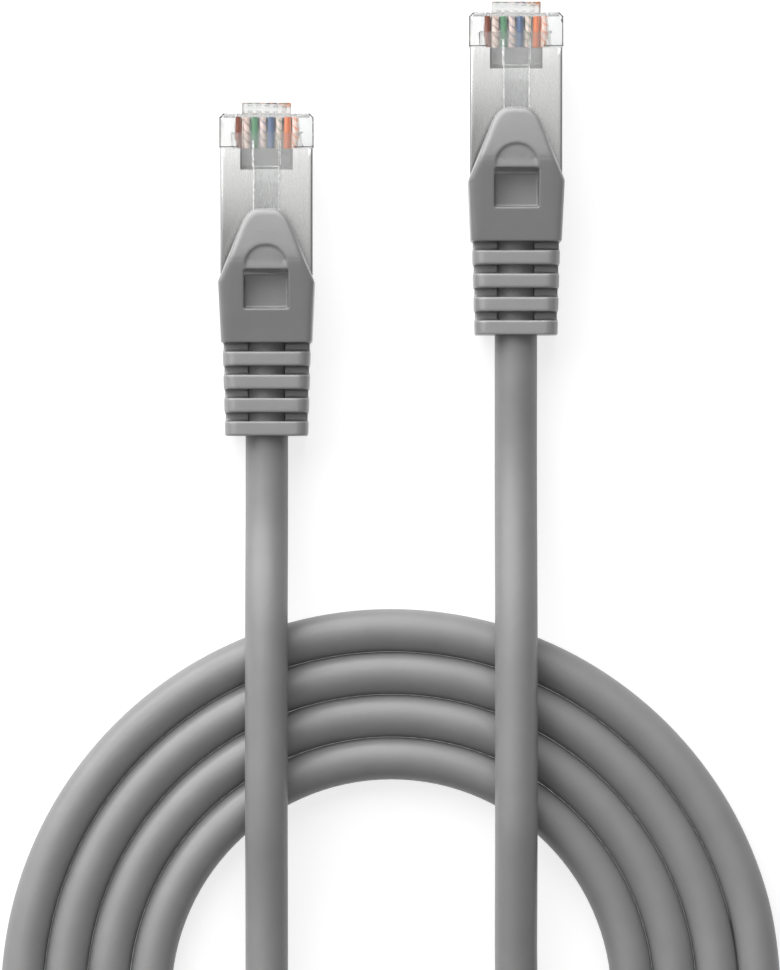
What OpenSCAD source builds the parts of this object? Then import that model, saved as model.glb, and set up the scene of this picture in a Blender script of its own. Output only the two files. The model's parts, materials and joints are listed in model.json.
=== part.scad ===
// Shielded ethernet patch cable: two 8-way modular plugs with snagless boots on one coiled round cable.
// Millimetres. X runs across the plugs, their noses point to +Y, +Z is up and the cable lies on z = 0.
// The origin is under the middle of the two plugs. Each plug is drawn in its own frame, in which y = 0 is
// the back of its boot and x = 0 its middle.

/* [Plug body] */
// Width of the nose
plug_w = 11.68; // [10.8:0.01:14.1]
// Height of the nose
plug_h = 6.6; // [6.2:0.1:8]
// Length of the nose in front of the shell's step
nose_l = 4.2; // [3.6:0.1:5.2]
// From the back of the shell's sleeve to the clear body
housing_setback = 4.8; // [4.4:0.1:5.4]
// How far the root of the latch stands in front of the nose
root_reach = 1.4; // [1.2:0.1:1.8]
// From the front of the nose to the back of the shell's sleeve
sleeve_reach = 19.9; // [19:0.1:24]

/* [Wires and contacts] */
// Pitch of the wires and contacts
wire_pitch = 1.016; // [1:0.001:1.05]
// Diameter over a wire's insulation
wire_d = 0.95; // [0.8:0.01:0.97]
// Diameter of a wire's copper
core_d = 0.5; // [0.4:0.01:0.6]
// Height of the wires above the underside of the nose
wire_rise = 3.1; // [2.9:0.1:3.3]
// Thickness of a contact blade
blade_t = 0.35; // [0.25:0.01:0.4]
// Length of a contact blade
blade_l = 3.2; // [2.6:0.1:3.6]
// Depth of a contact blade inside its slot's mouth
blade_sink = 0.45; // [0.3:0.05:0.6]
// Width of the load bar
bar_w = 8.6; // [8.4:0.1:9]
// Height of the load bar
bar_h = 2; // [1.6:0.1:2.2]
// Length of the load bar
bar_l = 5.7; // [5:0.1:6.2]

/* [Latch] */
// Width of the latch's wide part
latch_w = 6.1; // [5:0.1:7.4]
// Width of the lever
lever_w = 3.3; // [2.6:0.1:3.9]
// Thickness of the latch and its lever
latch_t = 1; // [0.8:0.05:1.05]
// From the front of the root to the shoulders
shoulder_l = 8; // [7.6:0.1:8.6]
// From the front of the root to the bend of the lever
bend_l = 10.3; // [9.8:0.1:11]
// How far the lever's free end lies under the hood
lever_lap = 1.4; // [1:0.1:1.8]
// Rise of the lever's underside above the nose at its shoulders, bend and free end
lever_rise = [1.15, 1.65, 2.1];

/* [Shell] */
// Width over the shell's sleeve
shell_w = 11.45; // [10.6:0.01:13.8]
// Height over the shell's sleeve
shell_h = 6.4; // [6:0.1:7.8]
// Thickness of the sheet
shell_t = 0.25; // [0.2:0.01:0.3]
// Length of the crimp barrel
barrel_l = 5.2; // [4:0.1:5.8]

/* [Boot] */
// Width over the boot's shoulders
boot_w = 11.95; // [11.8:0.01:14.4]
// Width at the back of the boot's main part
boot_back_w = 11.3; // [11:0.01:13.5]
// Length of the boot's main part
boot_l = 8.4; // [8:0.1:10.5]
// Width of the strain relief at its end
tail_w = 10.3; // [9:0.1:11]
// Height of the strain relief
tail_h = 8.4; // [8:0.1:10]
// Number of ribs on the strain relief
rib_count = 4; // [3:1:6]
// Thickness of a rib
rib_t = 1.8; // [1.5:0.1:2.4]
// Width of a slot
slot_w = 1.1; // [0.9:0.1:1.5]
// Height of the webs that join the ribs at both sides
web_h = 3.2; // [2.4:0.1:4]
// How far the hood reaches in front of the boot's main part
hood_reach = 8.4; // [8:0.1:9]
// Width of the hood at its tip, if its sides ran on straight
hood_tip_w = 5.04; // [4.8:0.01:6]
// Thickness of the hood over the latch
hood_t = 1.05; // [0.8:0.05:1.4]
// Width of the pocket behind the hood
pocket_w = 5.5; // [4.6:0.1:6.2]
// Length of the pocket behind the hood
pocket_l = 4.8; // [4.2:0.1:5.4]
// Slope of the boot's back, in degrees
back_slope = 18.6; // [15:0.1:21]
// Press of the hood at its stop, in degrees
hood_press = 11; // [0:0.5:11]

/* [Cable] */
// Diameter of the cable
cable_d = 5.3; // [4.4:0.1:5.6]
// Wall of the cable's jacket
jacket_t = 0.45; // [0.35:0.05:0.55]
// From the boot of plug A to the middle of the coil
coil_reach = 70.25; // [68:0.25:80]
// Distance between the middles of the two plugs
plug_gap_x = 31; // [28:0.1:34]
// How far plug B lies in front of plug A
plug_step_y = 12.55; // [0:0.05:20]

/* [Coil] */
// Radius of the outermost turn, to the middle of the cable
coil_r = 46.05; // [45.5:0.05:48]
// Gap between neighbouring turns of round cable
turn_gap = 0.02; // [0.02:0.01:0.2]
// Half turns on the side of the plugs
top_turns = 4; // [3:1:4]

/* [Hidden] */
$fn = 48;
SIDES = ["a", "b"];
// Colour codes of pins 1 to 8, and where each wire lies round the middle of the cable, in degrees
WIRES = [
    ["wire_white_orange", "navajowhite", -22.5],
    ["wire_orange", "darkorange", 22.5],
    ["wire_white_green", "honeydew", -67.5],
    ["wire_blue", "royalblue", 67.5],
    ["wire_white_blue", "aliceblue", 112.5],
    ["wire_green", "seagreen", -112.5],
    ["wire_white_brown", "antiquewhite", 157.5],
    ["wire_brown", "sienna", -157.5]
];
PINS = [1 : len(WIRES)];
PLUG_PARTS = [
    "plug_housing", "latch", "load_bar", "shield_shell", "conductors",
    "foil_shield", "drain_wire", "jacket_end", "boot", "boot_tab"
];

// Clearances
fit = 0.05;      // between pieces that seat in each other
wire_fit = 0.02; // round a wire and beside a blade in it
slip = 0.2;      // beside the latch in its channel
hinge_fit = 0.1; // round the latch's root
bend_fit = 0.25; // round the boot's bending arms
press_fit = 0.25; // left under the lever and the hood when they are pressed
slot_fit = 0.1;  // round a blade in its slot
over = 1;        // how far a cut runs past the face that it opens
join = 0.5;      // how far one form of a piece runs into another
hair = 0.01;     // thickness of the slices that a hull spans
tuck = 0.05;     // from a slice inside a hull to the hull's faces

// Stations along the plug, from the back of the boot
rib_pitch = rib_t + slot_w;
y_body_back = rib_count * rib_pitch;
y_body_front = y_body_back + boot_l;
y_sleeve_back = y_body_front + 2 * fit;
y_nose = y_sleeve_back + sleeve_reach;
y_root = y_nose + root_reach;
y_step = y_nose - nose_l;
y_shell_front = y_step - 2 * fit;
y_housing_back = y_sleeve_back + housing_setback;
y_hood = y_body_front + hood_reach;
y_lever_end = y_hood - lever_lap;
knuckle_r = 1.4; // of the hood's arms
hinge_y = y_body_front - 2 * knuckle_r;

// Heights
cable_z = tail_h / 2;
nose_z = cable_z - plug_h / 2;
nose_top = nose_z + plug_h;
shell_top = cable_z + shell_h / 2;
shell_bottom = cable_z - shell_h / 2;
wire_z = nose_z + wire_rise;

// Body inside the shell
core_w = shell_w - 2 * shell_t - 2 * fit;
core_h = shell_h - 2 * shell_t - 2 * fit;
corner_r = 0.6;
nose_chamfer = 0.45;
cavity_w = bar_w + 4 * fit;
cavity_h = bar_h + 4 * fit;
sleeve_wall = [0.7, 0.6]; // at the sides, and above and below the cable
cable_room_w = core_w - 2 * sleeve_wall[0];
cable_room_h = core_h - 2 * sleeve_wall[1];

// Wires, contacts and load bar
wire_setback = 0.3;
bar_setback = 2.3;
blade_setback = 0.8;
fan_l = 2.9;
bundle_l = 4.5;
core_gap = 2.6; // from the end of the jacket's bore to the wires' ends
y_wire_tip = y_nose - wire_setback;
y_bar_front = y_nose - bar_setback;
y_bar_back = y_bar_front - bar_l;
y_fan = y_bar_back - fan_l;
y_bundle = y_fan - bundle_l;
half_step = 180 / len(WIRES);
ring_r = (wire_d + 2 * wire_fit) / (2 * sin(half_step));
y_blade_front = y_nose - blade_setback;
y_blade_back = y_blade_front - blade_l;
tooth_count = 3;
tooth_h = 0.65;
blade_bottom = nose_z + blade_sink;
blade_tip = wire_z - core_d / 2 - wire_fit;
blade_base = blade_tip - tooth_h;
blade_nose_r = 0.6;
blade_lift = 0.4;
slot_t = blade_t + slot_fit;

// Latch
root_r = 0.7;
root_sink = 0.9;
channel_drop = 0.85;
latch_y = y_root - root_r;
latch_z = nose_top - root_sink;
channel_z = latch_z - channel_drop;
latch_back = y_root - shoulder_l;
notch_w = latch_w + 2 * slip;
notch_reach = 0.35; // behind the latch's wide part
dip_w = notch_w + 2 * shell_t;
notch_back = latch_back - notch_reach;
shoulder_drop = 0.65;
lever_start = [3.2, -1.05]; // from the shoulders, inside the wide part
seat_h = 1.7;
seat_lip = 0.6;
latch_points = [
    [latch_back, nose_top + lever_rise[0]],
    [y_root - bend_l, nose_top + lever_rise[1]],
    [y_lever_end, nose_top + lever_rise[2]]
];
latch_lead = 0.045; // keeps the lever's end clear of the hood
latch_ratio = round(100 * ((y_lever_end - hinge_y) / (latch_y - y_lever_end) + latch_lead)) / 100;
latch_press = hood_press * latch_ratio;

// Shell's crimp, foil, drain wire and jacket
foil_t = 0.08;
drain_d = 0.4;
drain_reach = (wire_d + drain_d) / 2 + 2 * wire_fit; // from a wire's middle to the drain wire's
drain_in_r = ring_r * cos(half_step) + sqrt(pow(drain_reach, 2) - pow(ring_r * sin(half_step), 2));
foil_room_r = drain_in_r + drain_d / 2 + wire_fit;
cable_r = cable_d / 2;
jacket_in_r = max(cable_r - jacket_t, foil_room_r + foil_t + wire_fit);
jacket_grip = 3.8; // how far the jacket runs into the body
jacket_bore_l = 9.9;
y_jacket = y_sleeve_back + jacket_grip;
y_jacket_floor = y_jacket - jacket_bore_l;
y_wire_end = y_jacket_floor + core_gap;
foil_in_r = jacket_in_r - foil_t - wire_fit;
foil_out_r = cable_r + wire_fit + foil_t;
foil_lip = 0.2;
y_foil = y_jacket + foil_lip;
barrel_in_r = foil_out_r + fit;
barrel_r = barrel_in_r + shell_t;
y_barrel = y_body_front - 4 * fit;
strap_w = 5;
strap_lap = 1;
strap_line = [
    [y_barrel - strap_lap, cable_z - barrel_r], [y_barrel, cable_z - barrel_r],
    [y_sleeve_back, shell_bottom], [y_sleeve_back + join, shell_bottom]
];
wing_gap = 4.8;
drain_angle = 45;
drain_lap = 0.6;
drain_out_r = foil_out_r + drain_d / 2 + wire_fit;
y_drain = y_foil + drain_d / 2 + 4 * fit;

// Boot and hood
edge_r = 0.9;
hood_edge_r = 0.6;
hood_draft = 0.25; // how much narrower each side is at the top
arm_lift = 0.3; // of the arms above the shell's top
hinge_z = shell_top + arm_lift + knuckle_r;
slope_tan = tan(back_slope);
latch_top = latch_points[2][1] + latch_t;
hood_gap = 0.55; // between the hood and the lever in it
ceiling_z = latch_top + hood_gap;
hood_top = ceiling_z + hood_t;
skin = 0.08; // of the boot's back over the round ends of the arms
slope_z0 = hinge_z + (knuckle_r + skin) / cos(back_slope);
y_crest = hinge_y + (hood_top - slope_z0) / slope_tan;
y_shoulder = y_body_front - edge_r;
cap_l = 3.9;
cap_power = 0.5;
hood_side = (boot_w - hood_tip_w) / 2 / (y_hood - y_shoulder);
hood_drop = 0.4; // how far the sides of the hood reach below the shell's top
wall_top = hinge_z - knuckle_r - bend_fit;
barrel_room_r = max(barrel_r, drain_out_r + drain_d / 2) + 2 * fit;
pocket_floor_t = 0.6;
pocket_z = cable_z + barrel_r + pocket_floor_t;
pocket_back = hinge_y - knuckle_r;
pocket_front = pocket_back + pocket_l;
pocket_wall = 1;
hood_wall = 1.1;
mouth_l = 2;
mouth_w = lever_w + 2 * hood_gap;
cavity_back = pocket_front + pocket_wall;
pad_r = 2.65;
floor_lip = 0.3; // how far the pocket's floor reaches under the wall
floor_lip_t = 0.25;
floor_lip_z = shell_top + fit;
under_wall_y = pocket_front + floor_lip - hinge_y;
under_wall_z = hinge_z
    + (floor_lip_z + floor_lip_t + press_fit - hinge_z + under_wall_y * sin(hood_press)) / cos(hood_press);
pad_step = 0.35;
pad_y = pocket_front + pad_step;
pad_depth = 0.35;
pad_fall = 0.5;
web_inset = 0.12;
tail_r = 1.6;
tail_step = 0.15;
tail_taper = 0.1;
tail_front_w = boot_back_w - 2 * tail_step;
// Front of the hood's lower edge: it stays press_fit above the shell when the hood is pressed
lip_y = y_hood - hinge_y;
lip_z = hinge_z + (shell_top + press_fit - hinge_z + lip_y * sin(hood_press)) / cos(hood_press);

// Plugs and coil
rear_a = -(y_root + plug_step_y) / 2;
pitch = cable_d + turn_gap;
coil_y = rear_a - coil_reach;
coil_sides = 6;
lead_sides = 8;
wire_sides = 12;
core_sides = 8;
half_turn_steps = 12;
quarter_steps = half_turn_steps / 2;
inner_r = coil_r - (top_turns - 1) * pitch;
turn_in_r = 20.05; // of the quarter turn that leaves the coil
lead_a_step = 4.5;
lead_b_step = 3;

function plug_x(s) = (s == "a" ? -1 : 1) * plug_gap_x / 2;
function plug_y(s) = rear_a + (s == "a" ? 0 : plug_step_y);
function pin_x(pin) = (len(WIRES) / 2 + 0.5 - pin) * wire_pitch;
function slope_z(y) = slope_z0 + (y - hinge_y) * slope_tan;
function hood_half(y) = hood_tip_w / 2 + (y_hood - y) * hood_side;
function turned(p, angle) = [p[0] * cos(angle) - p[1] * sin(angle), p[0] * sin(angle) + p[1] * cos(angle)];
function arc(centre, r, from, to, steps) =
    [for (i = [0 : steps]) let (a = from + (to - from) * i / steps) centre + r * [cos(a), sin(a)]];
function mirrored(points) = [for (i = [len(points) - 1 : -1 : 0]) [-points[i][0], points[i][1]]];
function lifted(points, z) = [for (p = points) [p[0], p[1], z]];

module at_plug(s) {
    translate([plug_x(s), plug_y(s), 0]) children();
}

// Extrudes an X-Z outline from y0 to y1
module along_y(y0, y1) {
    translate([0, y1, 0]) rotate([90, 0, 0]) linear_extrude(y1 - y0) children();
}

// Extrudes a Y-Z outline across X, centred
module across_x(w) {
    rotate([90, 0, 90]) linear_extrude(w, center = true) children();
}

module block(w, y0, y1, z0, z1) {
    translate([-w / 2, y0, z0]) cube([w, y1 - y0, z1 - z0]);
}

module rounded_rect(w, h, r) {
    square([w - 2 * r, h], center = true);
    square([w, h - 2 * r], center = true);
    for (sx = [-1, 1]) for (sz = [-1, 1]) translate([sx * (w / 2 - r), sz * (h / 2 - r)]) circle(r);
}

module round_y(r, y0, y1) {
    translate([0, y1, cable_z]) rotate([90, 0, 0]) cylinder(r = r, h = y1 - y0);
}

// ---- Plug body ----

module nose_plan() {
    half = plug_w / 2;
    side = [[half, y_step], [half, y_nose - nose_chamfer], [half - nose_chamfer, y_nose]];
    polygon(concat(side, mirrored(side)));
}

// Carries the root of the latch in front of the nose
module latch_seat() {
    across_x(latch_w) polygon([
        [y_nose - over, channel_z], [y_nose - over, channel_z - seat_h], [y_nose, channel_z - seat_h],
        [latch_y + seat_lip, channel_z - seat_h + root_reach - seat_lip / 2],
        [latch_y + seat_lip, latch_z - seat_lip], [latch_y, latch_z],
        [latch_y - join, latch_z - seat_lip]
    ]);
}

module contact_slots() {
    for (pin = PINS) translate([pin_x(pin), 0, 0]) {
        block(slot_t, y_blade_back - slot_fit, y_nose + over, nose_z - over, blade_base + slot_fit);
        block(slot_t, y_blade_back - slot_fit, y_blade_front + slot_fit, blade_base, wire_z);
    }
}

module wire_grooves() {
    for (pin = PINS) translate([pin_x(pin), y_wire_tip + slot_fit, wire_z])
        rotate([90, 0, 0])
            cylinder(d = wire_pitch + 2 * wire_fit, h = y_wire_tip - y_bar_front + 2 * slot_fit);
}

module plug_housing() {
    color("whitesmoke", 0.6) difference() {
        union() {
            translate([0, 0, nose_z]) linear_extrude(plug_h) nose_plan();
            translate([0, 0, cable_z]) along_y(y_housing_back, y_step + join)
                rounded_rect(core_w, core_h, corner_r);
            latch_seat();
        }
        block(notch_w, notch_back, y_nose + over, channel_z, nose_top + over);
        block(
            dip_w + 2 * fit, notch_back - shell_t - fit, y_step,
            channel_z - shell_t - fit, nose_top + over
        );
        translate([0, latch_y, latch_z]) rotate([0, 90, 0])
            cylinder(r = root_r + hinge_fit, h = latch_w + over, center = true);
        contact_slots();
        wire_grooves();
        block(
            cavity_w, y_bar_back - over, y_bar_front + slot_fit,
            wire_z - cavity_h / 2, wire_z + cavity_h / 2
        );
        translate([0, 0, cable_z]) along_y(y_housing_back - over, y_bar_back - over + hair)
            rounded_rect(cable_room_w, cable_room_h, corner_r);
    }
}

module load_bar() {
    color("gainsboro", 0.7) difference() {
        block(bar_w, y_bar_back, y_bar_front, wire_z - bar_h / 2, wire_z + bar_h / 2);
        for (pin = PINS) translate([pin_x(pin), 0, 0]) {
            translate([0, y_bar_front + over, wire_z]) rotate([90, 0, 0])
                cylinder(d = wire_d + 2 * wire_fit, h = bar_l + 2 * over);
            block(slot_t, y_blade_back - slot_fit, y_bar_front + over, wire_z - bar_h, wire_z - core_d / 2);
        }
    }
}

// A blade with its rounded contact edge below and its teeth in the wire above
module contact(pin) {
    tooth_l = blade_l / (tooth_count + 1);
    teeth = [for (i = [0 : tooth_count - 1]) for (p = [[0.5, 0], [1, 1], [1.5, 0]])
        [y_blade_front - tooth_l * (i + p[0]), blade_base + p[1] * (blade_tip - blade_base)]];
    edge = arc([y_blade_front - blade_nose_r, blade_bottom + blade_nose_r], blade_nose_r, -90, 0, 5);
    translate([pin_x(pin), 0, 0]) color("gold") across_x(blade_t) polygon(concat(
        [[y_blade_back, blade_base], [y_blade_back, blade_bottom + blade_lift],
            [y_blade_back + blade_lift, blade_bottom]],
        edge, [[y_blade_front, blade_base]], teeth
    ));
}

// ---- Wires ----

// From the nose through the load bar, then fanned up or down and drawn together into the cable
function wire_route(pin) =
    let (x = pin_x(pin), a = WIRES[pin - 1][2], end = [ring_r * cos(a), 0, cable_z + ring_r * sin(a)])
    [
        [x, y_wire_tip, wire_z], [x, y_bar_back - slip, wire_z], [x, y_fan, end[2]],
        [end[0], y_bundle, end[2]], [end[0], y_wire_end, end[2]]
    ];

module wire(pin) {
    color(WIRES[pin - 1][1]) difference() {
        tube(wire_route(pin), wire_d / 2, wire_sides, core_d / 2 + wire_fit);
        translate([pin_x(pin), 0, 0]) block(
            blade_t + 2 * wire_fit, y_blade_back - wire_fit, y_blade_front + wire_fit,
            wire_z - wire_d, wire_z - core_d / 4
        );
    }
}

module conductors() {
    color("peru") for (pin = PINS) tube(wire_route(pin), core_d / 2, core_sides);
}

// ---- Latch ----

module lever_profile() {
    top = [for (i = [2 : -1 : 0]) latch_points[i] + [0, latch_t]];
    start = latch_points[0] + lever_start;
    polygon(concat(latch_points, top, [start + [0, latch_t], start]));
}

// The wide part leaves the root all but level with its top and rises to the shoulders
module ramp_profile() {
    under = latch_points[0][1] - shoulder_drop;
    on_root = [for (a = [-8, 30, 194]) [latch_y, latch_z] + root_r * [sin(a), cos(a)]];
    polygon(concat(on_root, [[latch_back, under], [latch_back, under + latch_t]]));
}

module latch() {
    color("whitesmoke", 0.6) {
        translate([0, latch_y, latch_z]) rotate([0, 90, 0]) cylinder(r = root_r, h = latch_w, center = true);
        across_x(latch_w) ramp_profile();
        across_x(lever_w) lever_profile();
    }
}

// ---- Shell, foil and jacket ----

// Tray in the sleeve's top that the pressed latch sinks into
module latch_dip() {
    difference() {
        block(dip_w, notch_back - shell_t, y_shell_front, channel_z - shell_t, shell_top);
        block(notch_w, notch_back, y_shell_front + over, channel_z, shell_top + over);
    }
}

module shield_shell() {
    color("silver") {
        difference() {
            translate([0, 0, cable_z]) along_y(y_sleeve_back, y_shell_front) difference() {
                rounded_rect(shell_w, shell_h, corner_r);
                rounded_rect(shell_w - 2 * shell_t, shell_h - 2 * shell_t, corner_r - shell_t);
            }
            block(notch_w, notch_back, y_shell_front + over, cable_z, shell_top + over);
        }
        latch_dip();
        across_x(strap_w) polygon(concat(strap_line, [for (i = [3 : -1 : 0]) strap_line[i] + [0, shell_t]]));
        difference() {
            round_y(barrel_r, y_barrel - barrel_l, y_barrel);
            round_y(barrel_in_r, y_barrel - barrel_l - over, y_barrel + over);
            block(wing_gap, y_barrel - barrel_l - over, y_barrel + over, cable_z, cable_z + 2 * barrel_r);
        }
    }
}

// The foil lines the jacket, turns over its end and lies back over it
module foil_shield() {
    color("lightgray") translate([0, 0, cable_z]) rotate([-90, 0, 0]) rotate_extrude() polygon([
        [foil_in_r, y_jacket_floor + slip], [foil_in_r, y_foil], [foil_out_r, y_foil],
        [foil_out_r, y_barrel - barrel_l], [foil_out_r - foil_t, y_barrel - barrel_l],
        [foil_out_r - foil_t, y_foil - foil_t], [foil_in_r + foil_t, y_foil - foil_t],
        [foil_in_r + foil_t, y_jacket_floor + slip]
    ]);
}

module drain_wire() {
    out = [cos(drain_angle), 0, sin(drain_angle)];
    base = [0, 0, cable_z];
    turn = (drain_out_r - drain_in_r) / 2;
    middle = base + (drain_in_r + turn) * out + [0, y_drain - turn, 0];
    color("darkgray") tube(concat(
        [base + drain_in_r * out + [0, y_wire_end, 0]],
        [for (a = [0 : 30 : 180]) middle + turn * (sin(a) * [0, 1, 0] - cos(a) * out)],
        [base + drain_out_r * out + [0, y_barrel - barrel_l + drain_lap, 0]]
    ), drain_d / 2, core_sides);
}

module jacket_end() {
    color("dimgray") difference() {
        round_y(cable_r, 0, y_jacket);
        round_y(jacket_in_r, y_jacket_floor, y_jacket + over);
    }
}

// ---- Boot ----

// Outline of the hood from its crest to its tip, drawn in by an inset
function hood_outline(inset) =
    let (side = concat(
        [[hood_half(y_crest) - inset, y_crest]],
        [for (a = [0 : 10 : 90]) let (y = y_hood - cap_l + (cap_l - inset) * pow(sin(a), cap_power))
            [(hood_half(y) - inset) * pow(cos(a), cap_power), y]]
    ))
    concat(side, [for (i = [len(side) - 2 : -1 : 0]) [-side[i][0], side[i][1]]]);

module boot_slice(y, w, h, r) {
    translate([0, 0, h / 2]) along_y(y, y + hair) rounded_rect(w, h, r, $fn = 32);
}

// Outer form of the boot's main part and its hood, as one moulding
module boot_form() {
    hull() {
        for (a = [0 : 30 : 90])
            translate([0, 0, hood_top - hood_edge_r + hood_edge_r * sin(a) - hair])
                linear_extrude(hair) polygon(hood_outline(hood_draft + hood_edge_r * (1 - cos(a))));
        translate([0, 0, shell_top - hood_drop]) linear_extrude(hair) polygon(hood_outline(tuck));
        boot_slice(y_shoulder, boot_w, slope_z(y_shoulder) - 2 * tuck, edge_r);
        boot_slice(y_body_front, 2 * (hood_half(y_body_front) - 2 * tuck), wall_top, edge_r);
        boot_slice(y_body_back, boot_back_w, slope_z(y_body_back), edge_r);
    }
}

// Side view of the hood and the arms that it bends on
module tab_profile() {
    low = atan2(lip_z - (hinge_z - knuckle_r), lip_y);
    up = [hinge_y, hinge_z] + (hood_top - hinge_z + over) * [-slope_tan, 1];
    translate([hinge_y, hinge_z]) circle(knuckle_r);
    polygon([
        [hinge_y, hinge_z], [hinge_y + knuckle_r * sin(low), hinge_z - knuckle_r * cos(low)],
        [y_hood + over, lip_z + over * tan(low)], [y_hood + over, hood_top + over], up
    ]);
}

// Room for the arms in the boot
module arm_room() {
    across_x(boot_w + over) {
        translate([hinge_y, hinge_z]) circle(knuckle_r + bend_fit);
        translate([hinge_y, wall_top]) square([y_body_front - hinge_y + over, hood_top]);
    }
}

module hood_room() {
    half = hood_half(cavity_back) - hood_wall;
    side = [[half, cavity_back], [mouth_w / 2, y_hood - mouth_l], [mouth_w / 2, y_hood + over]];
    linear_extrude(ceiling_z) polygon(concat(side, mirrored(side)));
}

// Sunk pad with a round head, in front of the pocket
module hood_pad() {
    intersection() {
        linear_extrude(hood_top + over) {
            translate([0, pad_y]) circle(pad_r);
            translate([-pad_r, pocket_front - over]) square([2 * pad_r, pad_y - pocket_front + over]);
        }
        across_x(boot_w) polygon([
            [pocket_front - over, hood_top - pad_depth - pad_fall],
            [pad_y + pad_r + over, hood_top - pad_depth],
            [pad_y + pad_r + over, hood_top + over],
            [pocket_front - over, hood_top + over]
        ]);
    }
}

module boot_tab() {
    color("gray") difference() {
        intersection() {
            boot_form();
            across_x(boot_w + over) tab_profile();
        }
        hood_room();
        hood_pad();
        block(pocket_w, pocket_back - over, pocket_front, 0, hood_top + over);
        block(pocket_w, pocket_front - over, cavity_back + over, 0, under_wall_z);
    }
}

module tail_form() {
    hull() {
        boot_slice(y_body_back + join, tail_front_w, tail_h, tail_r);
        translate([0, 0, tail_taper]) boot_slice(0, tail_w, tail_h - 2 * tail_taper, tail_r);
    }
}

// One slot over and one under the webs, drawn in a little at both sides
module tail_slot(y0) {
    half = (tail_w + (tail_front_w - tail_w) * y0 / y_body_back) / 2 - web_inset;
    difference() {
        block(boot_w + over, y0, y0 + slot_w, -over, tail_h + over);
        block(2 * half, y0 - over, y0 + slot_w + over, cable_z - web_h / 2, cable_z + web_h / 2);
    }
}

module boot() {
    color("gray") difference() {
        union() {
            difference() {
                intersection() {
                    boot_form();
                    block(boot_w + over, y_body_back, y_body_front, 0, hood_top);
                }
                difference() {
                    arm_room();
                    block(pocket_w - 2 * bend_fit, 0, y_body_front + 2 * over, 0, hood_top + 2 * over);
                }
                block(pocket_w, pocket_back, y_body_front + over, pocket_z, hood_top + over);
            }
            tail_form();
            block(
                pocket_w - 2 * bend_fit, y_body_front - join, pocket_front + floor_lip,
                floor_lip_z, floor_lip_z + floor_lip_t
            );
        }
        for (i = [0 : rib_count - 1]) tail_slot(y_body_back - i * rib_pitch - slot_w);
        round_y(cable_r + fit, -over, y_body_front + over);
        round_y(barrel_room_r, y_barrel - barrel_l - 2 * fit, y_body_front + over);
        block(
            strap_w + 2 * slip, y_barrel - strap_lap - slip, y_body_front + over,
            min(shell_bottom, cable_z - barrel_r) - 2 * fit, cable_z
        );
    }
}

// ---- Cable ----

function unit(v) = v / norm(v);
function tangent(points, i) = unit(points[min(i + 1, len(points) - 1)] - points[max(i - 1, 0)]);

// Ring of a tube square to its run, with a corner at the bottom
function tube_ring(points, i, r, sides) =
    let (t = tangent(points, i), side = unit(cross(t, [0, 0, 1])), up = cross(side, t))
    [for (j = [0 : sides - 1]) let (a = 90 + 360 * j / sides) points[i] + r * (cos(a) * side + sin(a) * up)];

function two_triangles(a, b, c, d) = [[a, b, c], [a, c, d]];

// Round tube through the points, with a bore where one is given
module tube(points, r, sides, bore_r = 0) {
    rings = len(points);
    last = (rings - 1) * sides;
    inner = rings * sides;
    radii = bore_r > 0 ? [r, bore_r] : [r];
    vertices = [for (radius = radii) for (i = [0 : rings - 1]) each tube_ring(points, i, radius, sides)];
    outer_wall = [for (i = [0 : rings - 2]) for (j = [0 : sides - 1])
        let (a = i * sides + j, b = i * sides + (j + 1) % sides)
            each two_triangles(a, b, b + sides, a + sides)];
    inner_wall = [for (face = outer_wall) [for (k = [2, 1, 0]) face[k] + inner]];
    caps = [for (j = [1 : sides - 2]) each [[0, j + 1, j], [last, last + j, last + j + 1]]];
    rims = [for (j = [0 : sides - 1]) let (k = (j + 1) % sides) each concat(
        two_triangles(j, j + inner, k + inner, k),
        two_triangles(last + k, last + k + inner, last + j + inner, last + j)
    )];
    polyhedron(vertices, bore_r > 0 ? concat(outer_wall, inner_wall, rims) : concat(outer_wall, caps));
}

// The coil about its own middle: half turns about [0, 0] on the plugs' side and about a point half a pitch
// aside on the other, so that each row steps in by one pitch a turn, and a quarter turn inwards at the end
coil_plan = concat(
    [[coil_r, -cable_d]],
    [for (k = [0 : top_turns - 1]) each concat(
        arc([0, 0], coil_r - k * pitch, 0, 180, half_turn_steps),
        k == top_turns - 1 ? [] :
            [for (i = [1 : half_turn_steps - 1])
                arc([-pitch / 2, 0], coil_r - (k + 0.5) * pitch, 180, 360, half_turn_steps)[i]]
    )],
    [for (i = [1 : quarter_steps]) arc([turn_in_r - inner_r, 0], turn_in_r, 180, 270, quarter_steps)[i]],
    [[turn_in_r - inner_r + cable_d, -turn_in_r]]
);
coil_points = lifted([for (p = coil_plan) p + [0, coil_y]], cable_r);
coil_end = coil_plan[len(coil_plan) - 1];

// Routes of the two leads, from the middle of the coil: x, y and height
LEAD_A = [
    [-15.5, 60, 4.5], [-15.5, 55.5, 5.6], [-15.5, 51.5, 6.9], [-15.5, 47.5, 7.9], [-15.5, 43, 8.3],
    [-15.5, 37, 8.3], [-15.5, 31, 8.3], [-15.5, 26, 8.2], [-15.5, 21.5, 7.7], [-15.5, 16, 6.5],
    [-15.5, 9.5, 5.5], [-15.5, 2.5, 5.1], [-15.5, -4.5, 5.7], [-15.5, -10, 6.9], [-15.5, -14.5, 7.9],
    [-15.5, -19, 8.3], [-15.5, -24, 8.3], [-14.8, -30, 8.3], [-12.5, -36, 8.3], [-8.7, -41.2, 8.3],
    [-3.7, -45.2, 8], [2.2, -47.7, 6.7], [8.5, -48.6, 5.1], [15, -47.9, 3.6], [21.5, -45.7, 2.85],
    [28, -42.2, 2.65], [34, -37.2, 2.65], [39.2, -30.9, 2.65], [43.2, -23.6, 2.65], [45.6, -16, 2.65]
];
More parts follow.
